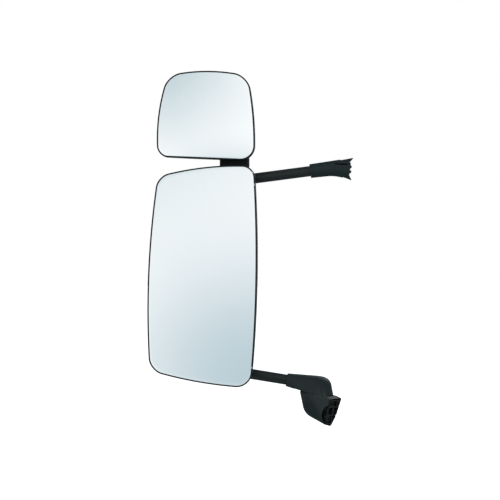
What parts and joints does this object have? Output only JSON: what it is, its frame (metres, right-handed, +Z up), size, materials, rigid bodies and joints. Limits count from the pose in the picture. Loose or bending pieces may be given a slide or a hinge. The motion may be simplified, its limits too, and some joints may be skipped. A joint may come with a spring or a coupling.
{
  "type": "truck side mirror",
  "caption": "Left truck mirror head with a tall main mirror and a wide-angle mirror on a folding C-shaped tube arm.",
  "frame": {"origin": "centre of the foot's mounting face on the cab bracket", "axes": "+X towards the cab, -Y the side the glasses face (rearwards), +Z up"},
  "size_m": [0.4136, 0.1119, 0.7145],
  "materials": {
    "black_plastic": "fine satin grain",
    "arm_paint": "satin black powder coat",
    "mirror_glass": "silvered convex glass",
    "inner_plastic": "moulded",
    "natural_plastic": "natural acetal",
    "casting": "die cast",
    "coated_casting": "die cast, black coated",
    "steel": "zinc plated",
    "brass": "turned",
    "rubber": "matt",
    "heater_film": "film"
  },
  "bodies": {
    "foot": {"foot_casting": "coated_casting", "foot_cover": "black_plastic", "foot_connector": "inner_plastic", "hinge_bush": "natural_plastic", "thrust_washer": "natural_plastic"},
    "arm": {"hinge_pin": "steel", "detent_spring": "steel", "spring_cup": "steel", "hinge_nut": "steel", "knuckle_casting": "casting", "tube_screws": "steel", "elbow_cover": "black_plastic", "arm_tube": "arm_paint", "stop_collars": "steel", "upper_fitting": "coated_casting", "upper_bush": "rubber", "upper_boot": "black_plastic", "arm_harness": "rubber", "harness_grommet": "rubber"},
    "head": {"carrier_plate": "steel", "upper_saddle": "casting", "upper_clamp_cap": "casting", "lower_saddle": "casting", "lower_clamp_cap": "casting", "swivel_liners": "natural_plastic", "clamp_bolts": "steel", "clamp_nuts": "steel", "main_housing": "black_plastic", "main_back_cover": "black_plastic", "housing_screws": "steel", "back_cover_screws": "steel", "neck_bracket": "casting", "neck_bolts": "steel", "neck_cover": "black_plastic", "wide_housing": "black_plastic", "wide_housing_screws": "steel", "wide_pivot_base": "inner_plastic", "actuator_base": "inner_plastic", "actuator_lid": "inner_plastic", "actuator_screws": "steel", "actuator_socket": "natural_plastic", "pan_motor": "steel", "tilt_motor": "steel"},
    "main_gimbal": {"main_gimbal_ring": "natural_plastic"},
    "main_mirror": {"main_glass_holder": "inner_plastic", "main_heater": "heater_film", "main_glass": "mirror_glass"},
    "wide_gimbal": {"wide_gimbal_ring": "natural_plastic"},
    "wide_mirror": {"wide_glass_holder": "inner_plastic", "wide_heater": "heater_film", "wide_glass": "mirror_glass"},
    "pan_screw_body": {"pan_jackscrew": "natural_plastic"},
    "tilt_screw_body": {"tilt_jackscrew": "natural_plastic"},
    "pan_nut_body": {"pan_gear_nut": "natural_plastic"},
    "tilt_nut_body": {"tilt_gear_nut": "natural_plastic"},
    "pan_worm_body": {"pan_worm": "brass"},
    "tilt_worm_body": {"tilt_worm": "brass"}
  },
  "joints": [
    {"name": "arm_fold", "type": "hinge", "parent": "foot", "child": "arm", "pos_m": [-0.03267, 0.01884, 0.03594], "axis": [0.1271, 0, 0.9919], "range_deg": [-55, 70]},
    {"name": "head_swivel", "type": "hinge", "parent": "arm", "child": "head", "pos_m": [-0.19927, 0.01884, 0.2751], "axis": [0, 0, 1], "range_deg": [-8, 8]},
    {"name": "main_tilt", "type": "hinge", "parent": "head", "child": "main_gimbal", "pos_m": [-0.26527, -0.03216, 0.2751], "axis": [1, 0, 0], "range_deg": [-4.5, 4.5]},
    {"name": "main_pan", "type": "hinge", "parent": "main_gimbal", "child": "main_mirror", "pos_m": [-0.26527, -0.03216, 0.2751], "axis": [0, 0, 1], "range_deg": [-6, 6]},
    {"name": "wide_pan", "type": "hinge", "parent": "head", "child": "wide_gimbal", "pos_m": [-0.25427, -0.03366, 0.5981], "axis": [0, 0, 1], "range_deg": [-5, 5]},
    {"name": "wide_tilt", "type": "hinge", "parent": "wide_gimbal", "child": "wide_mirror", "pos_m": [-0.25427, -0.03366, 0.5981], "axis": [1, 0, 0], "range_deg": [-5, 5]},
    {"name": "pan_screw_slide", "type": "slide", "parent": "head", "child": "pan_screw_body", "axis": [0, 1, 0], "range_m": [-0.00402, 0.00402]},
    {"name": "tilt_screw_slide", "type": "slide", "parent": "head", "child": "tilt_screw_body", "axis": [0, 1, 0], "range_m": [-0.00302, 0.00302]},
    {"name": "pan_nut_spin", "type": "hinge", "parent": "head", "child": "pan_nut_body", "pos_m": [-0.30327, -0.00816, 0.2751], "axis": [0, 1, 0], "range_deg": [-180.86, 180.86]},
    {"name": "tilt_nut_spin", "type": "hinge", "parent": "head", "child": "tilt_nut_body", "pos_m": [-0.26527, -0.00816, 0.2371], "axis": [0, 1, 0], "range_deg": [-135.65, 135.65]},
    {"name": "pan_worm_spin", "type": "hinge", "parent": "head", "child": "pan_worm_body", "pos_m": [-0.29197, -0.00816, 0.2751], "axis": [0, 0, 1], "range_deg": [-3255.51, 3255.51]},
    {"name": "tilt_worm_spin", "type": "hinge", "parent": "head", "child": "tilt_worm_body", "pos_m": [-0.26527, -0.00816, 0.2484], "axis": [-1, 0, 0], "range_deg": [-2441.63, 2441.63]}
  ],
  "couplings": [
    {"joint": "pan_screw_slide", "follows": "main_pan", "m_per_rad": -0.038},
    {"joint": "tilt_screw_slide", "follows": "main_tilt", "m_per_rad": 0.038},
    {"joint": "pan_nut_spin", "follows": "main_pan", "ratio": -29.845},
    {"joint": "tilt_nut_spin", "follows": "main_tilt", "ratio": 29.845},
    {"joint": "pan_worm_spin", "follows": "main_pan", "ratio": -537.21},
    {"joint": "tilt_worm_spin", "follows": "main_tilt", "ratio": 537.21}
  ]
}
